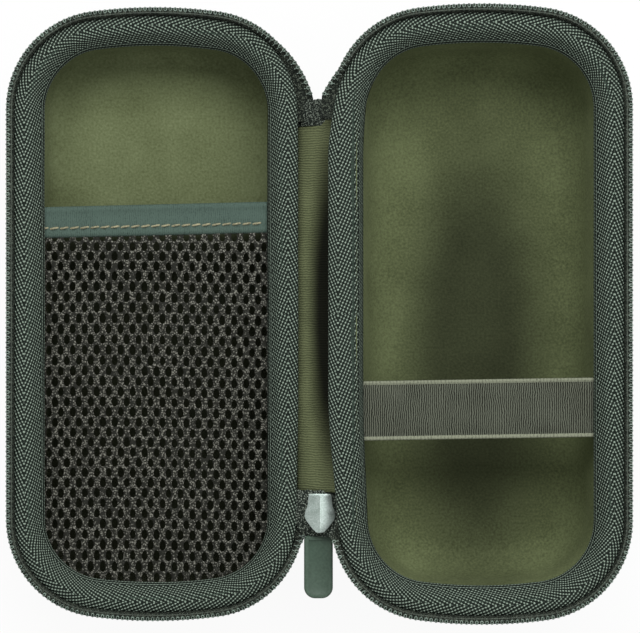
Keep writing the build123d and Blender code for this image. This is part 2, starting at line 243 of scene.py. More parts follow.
base_velvet_finish = velvet(
    "polyester velvet, brushed pile, flattened in the deep half", ("#484f34", "#6d7653"),
    (52.5, -12.0), (34.0, 106.0), 0.28,
)
lid_velvet_finish = velvet(
    "polyester velvet, brushed pile, flattened by the pocket", ("#4d5437", "#6f7857"),
    (-52.5, -165.0), (420.0, 200.0), 0.10, 0.94, 1.01,
)

# %% [markdown]
# Plain woven cloth covers the outside of both halves and of the spine. Warp and weft cross one over one, which
# the eye reads as an even grid of knots. The real threads are 0.25 mm apart and would vanish here, so a thread
# is drawn 0.9 mm wide. The zip's outer tape and the net are knitted, and at this size a knit shows as small
# bright flecks.

# %% Woven cover and knits
def plain_weave(name, colours, thread):
    """Plain weave with threads this far apart, in metres."""
    material, tree, cloth = new_finish(name, on_cloth=True)
    split = add_node(tree, "SeparateXYZ", {0: cloth})
    warp, weft = [wave(tree, way, 2 * thread) for way in split.outputs[:2]]
    knot = add_node(tree, "Math", {0: warp, 1: weft}, "MULTIPLY")
    raised = add_node(tree, "Math", {0: knot}, "ABSOLUTE")
    fibre = add_node(tree, "TexNoise", {"Vector": cloth, "Scale": 900.0, "Detail": 3.0})
    tone = add_node(tree, "Math", {0: fibre, 1: 0.5, 2: raised}, "MULTIPLY_ADD")
    return dress(material, tone, colours, (0.2, 1.0), (raised, 0.4, 0.2 * MM), rough=0.8, gloss=0.25)


def flecked(name, colours, grain):
    """Dense knit whose bright yarn shows only as small uneven flecks of about this size, in metres."""
    material, tree, place = new_finish(name, on_cloth=False)
    cells = add_node(tree, "TexVoronoi", {"Vector": place, "Scale": 1 / grain}).outputs["Distance"]
    fine = add_node(tree, "TexNoise", {"Vector": place, "Scale": 1.2 / grain, "Detail": 2.0})
    tone = add_node(tree, "Math", {0: cells, 1: -0.9, 2: fine}, "MULTIPLY_ADD")
    return dress(material, tone, colours, (0.05, 0.5), (tone, 0.6, 0.3 * MM), rough=0.85, gloss=0.2)


cover_finish = plain_weave("polyester cloth, plain woven", ("#1f2a23", "#3d4d42"), 0.9 * MM)
flange_finish = flecked("polyester zip tape, knitted", ("#141a15", "#666e61"), 0.55 * MM)
tab_finish = flecked("polyester zip tape end, cut and frayed", ("#19201b", "#939d90"), 0.55 * MM)
net_finish = flecked("polyester net, warp knitted", ("#20211c", "#84847a"), 0.65 * MM)

# %% [markdown]
# Elastic webbing is woven with rubber threads along its length, which draw it into fine ribs across, 0.7 mm
# apart and drawn at that size. In olive the same finish is the ribbed lining of the spine, with an ellipse of
# painted shade on its base side, where it hangs lowest under the base's tape, and in teal it is the pocket's band.

# %% Ribbed cloths
def ribbed(name, colours, rib, grain=0.35, relief=0.16, shade_ellipse=None):
    """Ribbed cloth with ribs this far apart along U of its UV map, in metres, and an optional ellipse of painted shade.
    """
    material, tree, cloth = new_finish(name, on_cloth=True)
    wobble = add_node(tree, "TexNoise", {"Vector": cloth, "Scale": 300.0, "Detail": 3.0})
    along = add_node(tree, "SeparateXYZ", {0: cloth})
    drift = add_node(tree, "Math", {0: wobble, 1: 1.2 * MM, 2: along}, "MULTIPLY_ADD")
    ribs = wave(tree, drift, rib)
    fibre = add_node(tree, "TexNoise", {"Vector": cloth, "Scale": 1400.0, "Detail": 3.0})
    broad = add_node(tree, "TexNoise", {"Vector": cloth, "Scale": 90.0, "Detail": 2.0})
    soft = add_node(tree, "Math", {0: fibre, 1: grain, 2: 0.3}, "MULTIPLY_ADD")
    mottle = add_node(tree, "Math", {0: broad, 1: 0.4, 2: soft}, "MULTIPLY_ADD")
    tone = add_node(tree, "Math", {0: ribs, 1: relief, 2: mottle}, "MULTIPLY_ADD")
    shade = tone_field(tree, cloth, *shade_ellipse) if shade_ellipse else None
    return dress(material, tone, colours, (0.35, 0.95), (ribs, 0.4, 0.15 * MM), rough=0.85, gloss=0.15, shade=shade)


strap_finish = ribbed("polyester and rubber elastic, woven", ("#14170f", "#5c6054"), 0.7 * MM, relief=0.36)
selvage_finish = ribbed("polyester yarn, stitched selvage", ("#262920", "#7f8371"), 1.1 * MM, grain=0.9)
# The spine's darker ellipse is painted shade, under the overhang of the base's tape.
spine_finish = ribbed(
    "polyester tricot, ribbed, painted shade in its fold", ("#363c29", "#6e7554"), 0.8 * MM, grain=0.5, relief=0.17,
    shade_ellipse=((2.0, 15.0), (68.0, 11.8), 0.05, 0.42, 1.0),
)
band_finish = ribbed("polyester and rubber band, knitted", ("#16201c", "#4a5b53"), 0.6 * MM, grain=0.9, relief=0.14)

# %% [markdown]
# The hard finishes are few. The zip's coil is nylon monofilament with a dull shine, the slider is cast zinc,
# plated and tumbled to a satin with a fine pitted grain, and the puller's grip is soft plastic moulded in one
# colour. Cord and sewing thread are spun so tightly that here they look like dull rods.

# %% Coil, thread, zinc and moulded plastic
def hard_finish(name, colours, metal, rough, grain, dent):
    """Smooth solid finish with a fine grain: its colours, metalness, roughness, grain's scale and bump depth."""
    material, tree, place = new_finish(name, on_cloth=False)
    fine = add_node(tree, "TexNoise", {"Vector": place, "Scale": grain, "Detail": 3.0})
    broad = add_node(tree, "TexNoise", {"Vector": place, "Scale": 160.0, "Detail": 2.0})
    patch = add_node(tree, "Math", {0: broad, 1: 0.35}, "MULTIPLY")
    tone = add_node(tree, "Math", {0: fine, 1: 0.8, 2: patch}, "MULTIPLY_ADD")
    haze = add_node(tree, "MapRange", {0: broad, 1: 0.3, 2: 0.7, 3: rough - 0.05, 4: rough + 0.07})
    return dress(material, tone, colours, (0.38, 0.78), (fine, 0.3, dent), haze, others={"Metallic": metal})


coil_finish = hard_finish("nylon monofilament, coiled", ("#2f3b33", "#84968a"), 0.0, 0.25, 900.0, 0.05 * MM)
thread_finish = hard_finish("polyester cord, spun", ("#20261f", "#4c554a"), 0.0, 0.75, 1600.0, 0.1 * MM)
stitch_finish = hard_finish("polyester sewing thread, beige", ("#5d5a45", "#a39e80"), 0.0, 0.7, 1500.0, 0.1 * MM)
zinc_finish = hard_finish("zinc, cast and satin plated", ("#9fb0a8", "#cdd8d4"), 1.0, 0.42, 2200.0, 0.04 * MM)
grip_finish = hard_finish("soft PVC, moulded", ("#34483a", "#43584a"), 0.0, 0.55, 1200.0, 0.02 * MM)

# %% [markdown]
# Both halves share one plan: straight sides, round corners and gently bowed ends. The tapes, their cord and
# the coil follow that line. A point on it is given by how far it is along from the middle of the spine side,
# clockwise, with the outward direction there. The base lies right of the spine and the lid mirrors it.

# %% The rim's line
corner_radius = 29.1 * MM
bow_radius = 154.2 * MM
corner_x = half_width - corner_radius
bow_y = half_length - bow_radius
corner_y = bow_y + math.sqrt((bow_radius - corner_radius) ** 2 - corner_x**2)
corner_turn = math.atan2(corner_y - bow_y, corner_x)
bow_turn = math.pi - 2 * corner_turn
side_half = ("line", corner_y, Vector((-half_width, 0)), Vector((0, 1)))
lower_half = ("line", corner_y, Vector((-half_width, -corner_y)), Vector((0, 1)))
far_side = ("line", 2 * corner_y, Vector((half_width, corner_y)), Vector((0, -1)))


def arc(x, y, radius, start, turn):
    """Clockwise arc of the rim's line: kind, length, centre, radius and starting angle."""
    return ("arc", radius * turn, Vector((x, y)), radius, start)


rim_runs = [
    side_half,
    arc(-corner_x, corner_y, corner_radius, math.pi, corner_turn),
    arc(0, bow_y, bow_radius, math.pi - corner_turn, bow_turn),
    arc(corner_x, corner_y, corner_radius, corner_turn, corner_turn),
    far_side,
    arc(corner_x, -corner_y, corner_radius, 0, corner_turn),
    arc(0, -bow_y, bow_radius, -corner_turn, bow_turn),
    arc(-corner_x, -corner_y, corner_radius, corner_turn - math.pi, corner_turn),
    lower_half,
]
rim_length = sum(part[1] for part in rim_runs)


def rim_point(run):
    """Point on the rim's line this far along, and the outward direction there."""
    rest = run % rim_length
    for kind, length, anchor, *more in rim_runs:
        if rest <= length:
            break
        rest -= length
    if kind == "line":
        return anchor + more[0] * rest, Vector((-more[0].y, more[0].x))
    angle = more[1] - rest / more[0]
    outward = Vector((math.cos(angle), math.sin(angle)))
    return anchor + outward * more[0], outward


def on_half(side, flat, height):
    """Point of the base (side 1) or of the lid (side -1) in the whole frame."""
    return Vector((side * (shell_x + flat.x), flat.y, height))


print("rim length, mm:", round(rim_length / MM, 1))

# %% [markdown]
# A few helpers build the soft pieces. The main one makes a sheet of cloth through rows of points and lays a
# UV map in metres over it, so that a weave keeps its true scale. Another gives a piece its finish and body
# and hides the CAD nodes it stands for. A smooth step serves the things that swell or fade.

# %% Helpers for pieces
def add_mesh(name, points, faces):
    """Object with a mesh of these points and faces."""
    mesh = bpy.data.meshes.new(name)
    mesh.from_pydata(points, [], faces)
    return add_object(name, mesh)


def cloth_grid(name, rows, along, across, closed=False):
    """Sheet through rows of points; along and across are the rows' and columns' places on the cloth, and across
    may also be a list for each row."""
    width = len(rows[0])
    turns = len(rows) if closed else len(rows) - 1
    faces = []
    marks = []
    for i in range(turns):
        after = (i + 1) % len(rows)
        end = along[i + 1] if i + 1 < len(along) else along[i] + (along[1] - along[0])
        here, there = (across[i], across[after]) if isinstance(across[0], list) else (across, across)
        for j in range(width - 1):
            faces.append((i * width + j, after * width + j, after * width + j + 1, i * width + j + 1))
            marks += [(along[i], here[j]), (end, there[j]), (end, there[j + 1]), (along[i], here[j + 1])]
    piece = add_mesh(name, [point for row in rows for point in row], faces)
    layer = piece.data.uv_layers.new(name="cloth")
    layer.data.foreach_set("uv", [value for mark in marks for value in mark])
    return piece


def evenly(start, end, steps):
    """Values from start to end in this many equal steps, with both ends."""
    return [start + (end - start) * i / steps for i in range(steps + 1)]


def sheet_over(name, along, across, spot):
    """Sheet with a point spot(a, b) for each mark a along the cloth and each mark b across it."""
    return cloth_grid(name, [[spot(a, b) for b in across] for a in along], along, across)


def face_upward(piece):
    """Turns the piece's faces the same way round, with most of them looking up."""
    work = bmesh.new()
    work.from_mesh(piece.data)
    bmesh.ops.recalc_face_normals(work, faces=work.faces)
    if sum(face.normal.z * face.calc_area() for face in work.faces) < 0:
        bmesh.ops.reverse_faces(work, faces=work.faces)
    work.to_mesh(piece.data)
    work.free()


def add_from(name, work):
    """Object made of this bmesh, which is then freed."""
    mesh = bpy.data.meshes.new(name)
    work.to_mesh(mesh)
    work.free()
    return add_object(name, mesh)


def thicken(piece, thickness, offset=-1.0):
    """Turns a sheet's faces upward and gives it thickness, below them unless offset says otherwise."""
    face_upward(piece)
    solid = piece.modifiers.new("thickness", "SOLIDIFY")
    solid.thickness = thickness
    solid.offset = offset


def settle(piece, finish, body, slot_name, *nodes):
    """Finish, smooth shading, body (none if it bends between two) and the CAD nodes it stands for.
    slot_name is not used.
    """
    piece.data.materials.clear()
    piece.data.materials.append(finish)
    for face in piece.data.polygons:
        face.use_smooth = True
    if body:
        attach(piece, body)
    if nodes:
        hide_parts(*nodes)
    print(piece.name, len(piece.data.polygons), "faces")


def smooth_step(value):
    """0 up to 0, 1 from 1 on, and a smooth rise between them."""
    held = min(max(value, 0.0), 1.0)
    return held * held * (3 - 2 * held)

# %% [markdown]
# Each half is a tub of foam sheet with cloth on its outside, pressed hot over a mould: walls that lean in by
# 7 degrees and a floor edge with a big radius. The mould's own logic is the simplest to follow: start with the
# rim's outline and inset it, step by step, down the wall and round the floor's edge. Every ring then keeps its
# true distance from the rim, and the round is a real one.

# %% Moulded tubs
wall_lean = math.radians(7)
# body, side, height of the rim and radius of the floor's edge
halves = (("base", 1, base_rim, 18 * MM), ("lid", -1, lid_rim, 12 * MM))
ring_points = 240
round_steps = 10
flat_enough = 0.7


def tub_profile(depth, floor_radius, skin):
    """Inset and height down the wall and round the floor's edge, for the surface this far inside the outer one."""
    touch_height = floor_radius - floor_radius * math.sin(wall_lean)
    centre_inset = (depth - touch_height) * math.tan(wall_lean) + floor_radius * math.cos(wall_lean)
    inner_radius = floor_radius - skin
    steps = []
    for i in range(round_steps + 1):
        angle = wall_lean + (math.pi / 2 - wall_lean) * i / round_steps
        steps.append((centre_inset - inner_radius * math.cos(angle), floor_radius - inner_radius * math.sin(angle)))
    rim_inset = steps[0][0] - (depth - steps[0][1]) * math.tan(wall_lean)
    return [(rim_inset, depth)] + steps


def press_tub(name, side, depth, floor_radius, skin):
    """Open tub without thickness, inset step by step from the rim's outline."""
    steps = tub_profile(depth, floor_radius, skin)
    bpy.ops.object.select_all(action="DESELECT")
    bpy.ops.mesh.primitive_circle_add(vertices=ring_points, radius=1.0, fill_type="NGON")
    tub = bpy.context.active_object
    tub.name = name
    for i, corner in enumerate(tub.data.vertices):
        flat, outward = rim_point(rim_length * i / ring_points)
        corner.co = on_half(side, flat - outward * steps[0][0], depth)
    bpy.ops.object.mode_set(mode="EDIT")
    bpy.ops.mesh.select_all(action="SELECT")
    up = 1 if tub.data.polygons[0].normal.z > 0 else -1
    for (before, high), (after, low) in zip(steps, steps[1:]):
        bpy.ops.mesh.inset(thickness=after - before, depth=up * (low - high), use_even_offset=True)
    bpy.ops.object.mode_set(mode="OBJECT")
    layer = tub.data.uv_layers.new(name="cloth")
    for face in tub.data.polygons:
        level = abs(face.normal.z) > flat_enough
        sideways = abs(face.normal.x) > abs(face.normal.y)
        for loop in face.loop_indices:
            x, y, z = tub.data.vertices[tub.data.loops[loop].vertex_index].co
            layer.data[loop].uv = (x, y) if level else (y if sideways else x, z)
    return tub


def press_halves(kind, skin, thickness, offset, finishes, slot_name, node):
    """Presses this kind of tub for the base and for the lid, thickens both and gives them their finishes."""
    tubs = []
    for (body, side, rim, floor_radius), finish in zip(halves, finishes):
        tub = press_tub(body + kind, side, rim, floor_radius, skin)
        thicken(tub, thickness, offset)
        settle(tub, finish, body, slot_name, body + node)
        tubs.append(tub)
    return tubs


foam_wall = 4.6 * MM
base_cover, lid_cover = press_halves("_cover", 0.0, foam_wall, 1.0, [cover_finish] * 2, "woven_cover", "_shell")

# %% [markdown]
# The velvet is laid into the same mould, a foam's thickness further in. It is one piece of knit, stretched
# over the corners without a seam, and its edge ends under the zip's tape.

# %% Velvet in both halves
velvet_skin = 5.4 * MM
velvet_thickness = 0.7 * MM
base_velvet, lid_velvet = press_halves(
    "_velvet", velvet_skin, velvet_thickness, -1.0, (base_velvet_finish, lid_velvet_finish), "velvet_lining", "_lining",
)

# %% [markdown]
# The zip's tape does three jobs in one strip. Its middle is sewn over the foam's rim as a soft crown, its
# inner edge hangs loose into the half, and outside it stands up as a flange that carries the coil. The strip
# is swept along the rim from one row of points: outward distance and height, in millimetres. On the base's
# spine side it bulges towards the spine. When the case closes, the spine pushes that bulge back over the rim,
# so there the base's tape bends a little with it.

# %% Tapes on the rims
tape_rows = [
    (-0.9, -3.4), (0.05, -1.6), (0.3, -0.5), (0.1, 0.25), (-0.7, 0.62), (-2.0, 0.78), (-3.4, 0.76), (-4.7, 0.5),
    (-5.6, 0.0), (-6.3, -0.9), (-7.1, -2.1), (-8.1, -3.4), (-9.2, -4.6),
]
zip_start = 69.41 * MM
zip_end = rim_length - 71.0 * MM
tape_steps = 500
sewn_line = -6.3
bulge_reach = 3.4
bulge_drop = 0.9
upper_bulge, upper_fade = 50 * MM, 32 * MM
lower_bulge, lower_fade = 25 * MM, 53 * MM


def spine_bulge(run):
    """How far the tape has bulged towards the spine here, from 0 to 1; it ends more gently at the lower end."""
    if run < rim_length / 2:
        return 1 - smooth_step((run - upper_bulge) / upper_fade)
    return 1 - smooth_step((rim_length - run - lower_bulge) / lower_fade)


def sweep_rows(side, rim, rows, runs, swell):
    """Rows of points along the rim; swell moves a point's outward distance and height, in millimetres."""
    swept = []
    for run in runs:
        flat, outward = rim_point(run)
        row = []
        for reach, rise in rows:
            reach, rise = swell(run, reach, rise)
            row.append(on_half(side, flat + outward * reach * MM, rim + rise * MM))
        swept.append(row)
    return swept


def row_lengths(rows):
    """Place of each point of a row on the cloth, in metres."""
    places = [0.0]
    for before, after in zip(rows, rows[1:]):
        places.append(places[-1] + math.dist(before, after) * MM)
    return places


def base_swell(run, reach, rise):
    """The base's tape bulges over its spine side, where its inner margin is shorter."""
    bulge = spine_bulge(run)
    ripple = 0.12 * math.sin(run * 95) + 0.08 * math.sin(run * 231 + 1.0)
    moved = bulge_reach * bulge * smooth_step((reach + 6.5) / 5.5)
    if reach < sewn_line:
        reach = sewn_line + (reach - sewn_line) * (1 - 0.55 * bulge)
    return reach + moved, rise - bulge_drop * bulge * smooth_step((reach + 2.5) / 2) + ripple * 0.5


def lid_swell(run, reach, rise):
    """The lid's tape lies plainly, with the slight waves that sewing leaves."""
    ripple = 0.12 * math.sin(run * 87 + 2.0) + 0.08 * math.sin(run * 211)
    moved = 0.6 * spine_bulge(run) * smooth_step((reach + 4) / 3)
    return reach + moved + ripple * 0.4, rise + ripple * 0.5


tape_runs = evenly(0, rim_length, tape_steps)[:-1]
tapes = []
for (body, side, rim, _), swell in zip(halves, (base_swell, lid_swell)):
    rows = sweep_rows(side, rim, tape_rows, tape_runs, swell)
    places = [row_lengths([point / MM for point in row]) for row in rows]
    tape = cloth_grid(body + "_rim_tape", rows, [-side * run for run in tape_runs], places, closed=True)
    thicken(tape, 0.5 * MM)
    settle(tape, tape_finish, body if side < 0 else None, "herringbone_tape", body + "_zip_tape")
    tapes.append(tape)
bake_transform(tapes[0])
print("tape width on the cloth, mm:", round(row_lengths(tape_rows)[-1] / MM, 2))

# %% [markdown]
# The flange is the tape's outer margin. It rises from the groove beside the crown and turns outward under the
# coil. A spun cord is woven into its fold, and outside it the coil is sewn on: one nylon monofilament wound in
# loops, each seen from above as a bead. Every loop is a small ring with few faces, since there are over 460.
# Near the zip's ends nothing pulls the flange upright, so there it flares: it spreads outward and lies
# flatter. flares gives, for each side, the spread at the top end, the length it fades over, and the same two
# at the low end, in millimetres.

# %% Flange, cord and coil
flange_rows = [(-0.5, -2.2), (0.3, -1.2), (0.5, 0.4), (0.66, 1.7), (0.85, 2.35), (1.4, 2.55), (2.6, 2.55)]
tooth_count = 233
flange_steps = 460
top_overrun, low_overrun = 7 * MM, 5 * MM
loop_reach, loop_run, wire_radius = 0.53, 0.42, 0.2
loop_seat = (2.12, 2.96)
cord_seat = (0.95, 2.7)
cord_radius = 0.2 * MM
flares = {1: (4.4, 15.0, 1.9, 9.0), -1: (4.4, 34.0, 2.2, 10.0)}


def flare_at(side, run):
    """How far the flange has spread outward here, in millimetres, near either end of the zip."""
    top, top_length, low, low_length = flares[side]
    at_top = max(0.0, 1 - (run - zip_start) / (top_length * MM))
    at_low = max(0.0, 1 - (zip_end - run) / (low_length * MM))
    return top * min(at_top, 1.0) ** 1.6 + low * min(at_low, 1.0) ** 1.6


def flange_swell(side):
    """Swell of the flange: its outer part spreads and sinks near the ends."""
    def swell(run, reach, rise):
        flare = flare_at(side, run)
        share = smooth_step((rise + 2.2) / 4.5)
        if reach > 1.5:
            reach -= 1.1 * min(1.0, flare / 1.2)
        above = max(0.0, (zip_start - run) / MM)
        below = max(0.0, (run - zip_end) / MM)
        keep = 1 - 0.2 * below
        return reach * keep + flare * share * keep, rise - (0.45 * flare + 0.5 * above + 0.6 * below) * share
    return swell


def ring_mesh(half_reach, half_run, wire, around=10, section=5):
    """Points and faces of one loop of the coil round its own centre, with the stalk that ties it to the tape."""
    points = []
    faces = []
    for i in range(around):
        angle = 2 * math.pi * i / around
        for j in range(section):
            lean = 2 * math.pi * j / section
            points.append((
                math.cos(angle) * (half_reach + wire * math.cos(lean)),
                math.sin(angle) * (half_run + wire * math.cos(lean)),
                wire * math.sin(lean) + 0.05 * math.sin(angle),
            ))
            after = (i + 1) % around
            up = (j + 1) % section
            faces.append((i * section + j, after * section + j, after * section + up, i * section + up))
    start = len(points)
    for x in (-half_reach - 0.9, -half_reach):
        points += [(x, -0.12, -0.45), (x, 0.12, -0.45), (x, 0.12, -0.25), (x, -0.12, -0.25)]
    faces += [(start + j, start + (j + 1) % 4, start + 4 + (j + 1) % 4, start + 4 + j) for j in range(4)]
    return points, faces


def tube_along(name, line, radius):
    """Round tube along a line of points."""
    curve = bpy.data.curves.new(name, "CURVE")
    curve.dimensions = "3D"
    curve.bevel_depth = radius
    curve.bevel_resolution = 2
    spline = curve.splines.new("POLY")
    spline.points.add(len(line) - 1)
    for point, spot in zip(spline.points, line):
        point.co = (*spot, 1.0)
    curve.use_fill_caps = True
    holder = add_object(name + "_line", curve)
    bpy.context.view_layer.update()
    mesh = bpy.data.meshes.new_from_object(holder.evaluated_get(bpy.context.evaluated_depsgraph_get()))
    mesh.name = name
    bpy.data.objects.remove(holder)
    return add_object(name, mesh)


flange_runs = evenly(zip_start - top_overrun, zip_end + low_overrun, flange_steps)
cord_runs = [run for run in flange_runs if zip_start < run < zip_end]
loop_points, loop_faces = ring_mesh(loop_reach, loop_run, wire_radius)
for (body, side, rim, _), tape in zip(halves, tapes):
    swell = flange_swell(side)
    flange = cloth_grid(
        body + "_zip_flange", sweep_rows(side, rim, flange_rows, flange_runs, swell), flange_runs,
        row_lengths(flange_rows),
    )
    thicken(flange, 0.4 * MM, 0.0)
    settle(flange, flange_finish, body, "herringbone_tape")
    cord_line = [row[0] for row in sweep_rows(side, rim, [cord_seat], cord_runs, swell)]
    woven_cord = tube_along(body + "_zip_cord", cord_line, cord_radius)
    settle(woven_cord, thread_finish, body, "herringbone_tape")
    points = []
    faces = []
    for k in range(tooth_count):
        run = zip_start + (zip_end - zip_start) * (k + (0.25 if side == 1 else 0.75)) / tooth_count
        flat, outward = rim_point(run)
        ahead = Vector((outward.y, -outward.x))
        reach, rise = swell(run, *loop_seat)
        start = len(points)
        for x, y, z in loop_points:
            spot = flat + outward * (reach + x) * MM + ahead * y * MM
            points.append(on_half(side, spot, rim + (rise + z) * MM))
        faces += [tuple(start + corner for corner in face) for face in loop_faces]
    coil_piece = add_mesh(body + "_zip_coil", points, faces)
    face_upward(coil_piece)
    settle(coil_piece, coil_finish, body, "coil_nylon", body + "_zip_teeth")

# %% [markdown]
# The pocket's net is warp knitted into a mesh of upright oval holes, staggered like bricks and gently
# distorted where the net is pulled. An alpha texture would look flat, so every hole is real: the cloth is laid
# out in hexagons, each with an oval cut out of it, and the ring between the two is meshed. The border follows
# the lid's wall. The net sags a little and its rows bend slightly.

# %% Net of the pocket
net_low, net_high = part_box("pocket_mesh")
net_top_z = net_high.z
net_inset = velvet_skin + 0.9 * MM
net_rows, net_columns = 36, 24
cell_x = 3.9 * MM
cell_y = 3.37 * MM
oval_half_x, oval_half_y = 1.0, 1.62
hole_points = 12
corner_offsets = [(0.0, 2.249), (1.95, 1.121), (1.95, -1.121), (0.0, -2.249), (-1.95, -1.121), (-1.95, 1.121)]


def keep_in(x, y, inset):
    """Nearest point to this one inside the lid's plan, this far in from the rim's line; x grows from the spine."""
    x = min(max(x, -half_width + inset), half_width - inset)
    limit = bow_radius - inset
    if y < 0 and math.hypot(x, y + bow_y) > limit and abs(x) <= corner_x * limit / (bow_radius - corner_radius):
        y = -bow_y - math.sqrt(limit**2 - x**2)
    if abs(x) > corner_x * 0.9 and y < -corner_y:
        gap = Vector((abs(x) - corner_x, y + corner_y))
        if gap.length > corner_radius - inset and gap.x > 0:
            gap *= (corner_radius - inset) / gap.length
            x = math.copysign(corner_x + gap.x, x)
            y = -corner_y + gap.y
    return x, y


def net_height(x, y):
    """Sag of the net below its fixed edge, deepest in its lower outer part."""
    deep = math.exp(-(((x - 12 * MM) / (30 * MM)) ** 2 + ((y + 52 * MM) / (36 * MM)) ** 2))
    return net_top_z - 0.4 * MM - 1.6 * MM * deep


net = bmesh.new()
net_uv = net.loops.layers.uv.new("cloth")
net_count = 0
for row in range(net_rows):
    for column in range(net_columns):
        middle_x = (column - 11.5 + 0.5 * (row % 2)) * cell_x
        middle_y = net_high.y - 1.0 * MM - row * cell_y
        kept = keep_in(middle_x, middle_y, net_inset + 0.6 * MM)
        if kept != (middle_x, middle_y) or middle_y < net_low.y:
            continue
        reach = 0.92 + 0.16 * random.random()
        outer = []
        inner = []
        for k in range(hole_points):
            angle = math.pi / 2 - 2 * math.pi * k / hole_points
            before, after = corner_offsets[k // 2], corner_offsets[(k + 1) // 2 % 6]
            outer.append((middle_x + (before[0] + after[0]) / 2 * MM, middle_y + (before[1] + after[1]) / 2 * MM))
            oval_x = oval_half_x * math.cos(angle) * (1 - 0.12 * math.sin(angle))
            inner.append((middle_x + oval_x * reach * MM, middle_y + oval_half_y * reach * math.sin(angle) * MM))
        rings = []
        for ring in (outer, inner):
            placed = []
            for x, y in ring:
                x, y = keep_in(x, y, net_inset)
                warp = 0.5 * MM * math.sin(x * 55 + 0.6) + 0.35 * MM * math.sin(y * 70)
                bent_y = y + warp * smooth_step((net_high.y - y) / (14 * MM)) * smooth_step((y - net_low.y) / (14 * MM))
                placed.append(net.verts.new(on_half(-1, Vector((x, bent_y)), net_height(x, y))))
            rings.append(placed)
        for k in range(hole_points):
            after = (k + 1) % hole_points
            face = net.faces.new((rings[0][k], rings[0][after], rings[1][after], rings[1][k]))
            for loop in face.loops:
                loop[net_uv].uv = (loop.vert.co.x, loop.vert.co.y)
        net_count += 1
bmesh.ops.remove_doubles(net, verts=net.verts, dist=0.01 * MM)
bmesh.ops.dissolve_degenerate(net, edges=net.edges, dist=0.005 * MM)
pocket_net = add_from("pocket_net", net)
thicken(pocket_net, 0.45 * MM)
settle(pocket_net, net_finish, "lid", "knitted_net", "pocket_mesh")
print("net cells:", net_count)

# %% [markdown]
# The pocket's mouth is bound with a knitted elastic band. It stands a little proud of the net, with a thick
# rounded upper edge and fine ribs across it, and it rises slightly towards the spine. It is swept from a row
# of points along the mouth, and the strap is made with the same helper.

# %% Band at the pocket's mouth
band_low, band_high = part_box("pocket_band")
mouth_slope = 0.024
band_steps = 160
band_profile = [
    (0.3, -1.3), (0.62, -0.4), (0.45, 0.35), (-0.3, 0.75), (-1.2, 0.6), (-1.9, 0.3), (-3.5, 0.42), (-5.2, 0.42),
    (-6.6, 0.3), (-7.3, 0.1), (-7.8, 0.3), (-8.6, 0.25), (-9.2, -0.1), (-9.6, -0.6),
]


def straight_band(name, low, high, steps, profile, centre):
    """Band along x between two corners of a box; the profile is laid out from the y and z of centre(i, x)."""
    marks = evenly(low.x, high.x, steps)
    rows = []
    for i, x in enumerate(marks):
        y, z = centre(i, x)
        rows.append([Vector((x, y + across * MM, z + lift * MM)) for across, lift in profile])
    return cloth_grid(name, rows, marks, row_lengths(profile))


def mouth_y(x):
    """Height of the pocket's mouth in the plan at this x."""
    return band_high.y + mouth_slope * (x - band_low.x)


def band_centre(i, x):
    """The band follows the mouth, with a fine ripple from its stitching."""
    ripple = 0.05 * math.sin(i * 1.9) + 0.04 * math.sin(i * 0.37)
    return mouth_y(x) - 0.5 * MM, net_top_z + ripple * MM


pocket_band = straight_band("pocket_band_knit", band_low, band_high, band_steps, band_profile, band_centre)
thicken(pocket_band, 0.4 * MM)
settle(pocket_band, band_finish, "lid", "pocket_elastic", "pocket_band")

# %% [markdown]
# A row of stitches holds the band to the net: thick beige thread, each stitch 2.5 mm long and slanting up a
# little, with its ends diving into the knit. Each stitch is a short bent tube, raised in its middle.

# %% Stitches on the band
stitches = bmesh.new()
stitch_pitch = 3.3 * MM
stitch_span, stitch_climb = 2.5 * MM, 0.45 * MM
stitch_steps = 6
stitch_radius = 0.34 * MM
stitch_count = int((band_high.x - band_low.x - 3 * MM) / stitch_pitch)
for k in range(stitch_count):
    x = band_low.x + 2.4 * MM + k * stitch_pitch
    line = []
    for i in range(stitch_steps + 1):
        share = i / stitch_steps
        hump = math.sin(math.pi * share)
        line.append((
            x + (share - 0.5) * stitch_span,
            mouth_y(x) - 6.9 * MM + (share - 0.5) * stitch_climb + 0.08 * MM * (random.random() - 0.5),
            net_top_z + (0.1 + 0.55 * hump) * MM,
        ))
    thread = tube_along("stitch", line, stitch_radius)
    stitches.from_mesh(thread.data)
    bpy.data.objects.remove(thread)
band_stitches = add_from("band_stitches", stitches)
settle(band_stitches, stitch_finish, "lid", "pocket_elastic")
print("stitches:", stitch_count)

# %% [markdown]
# The strap is ribbed elastic webbing sewn under the tape at both ends. It spans the well flat and taut,
# a degree off level, and its two selvages are thicker, lighter cords beside a dark line of stitching.

# %% Elastic strap
strap_low, strap_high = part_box("elastic_strap")
strap_x, strap_y, _ = (strap_low + strap_high) / 2
strap_top = 40.1 * MM
strap_steps = 80
strap_slope = 0.016
strap_sag = 0.5 * MM
selvage_start = 8.35 * MM
strap_profile = [
    (-9.6, -0.35), (-9.45, 0.25), (-9.0, 0.42), (-8.55, 0.2), (-8.3, -0.05), (-7.8, 0.1), (-4.0, 0.14), (0.0, 0.15),
    (4.0, 0.14), (7.8, 0.1), (8.3, -0.05), (8.55, 0.2), (9.0, 0.42), (9.45, 0.25), (9.6, -0.35),
]


def strap_centre(i, x):
    """The strap lies off level and sags a little between its ends."""
    return strap_y + strap_slope * (x - strap_x), strap_top - strap_sag * math.sin(math.pi * i / strap_steps)


strap = straight_band("strap_webbing", strap_low, strap_high, strap_steps, strap_profile, strap_centre)
thicken(strap, 1.0 * MM)
settle(strap, strap_finish, "base", "ribbed_elastic", "elastic_strap")
strap.data.materials.append(selvage_finish)
for face in strap.data.polygons:
    if abs(face.center.y - strap_centre(0, face.center.x)[0]) > selvage_start:
        face.material_index = 1

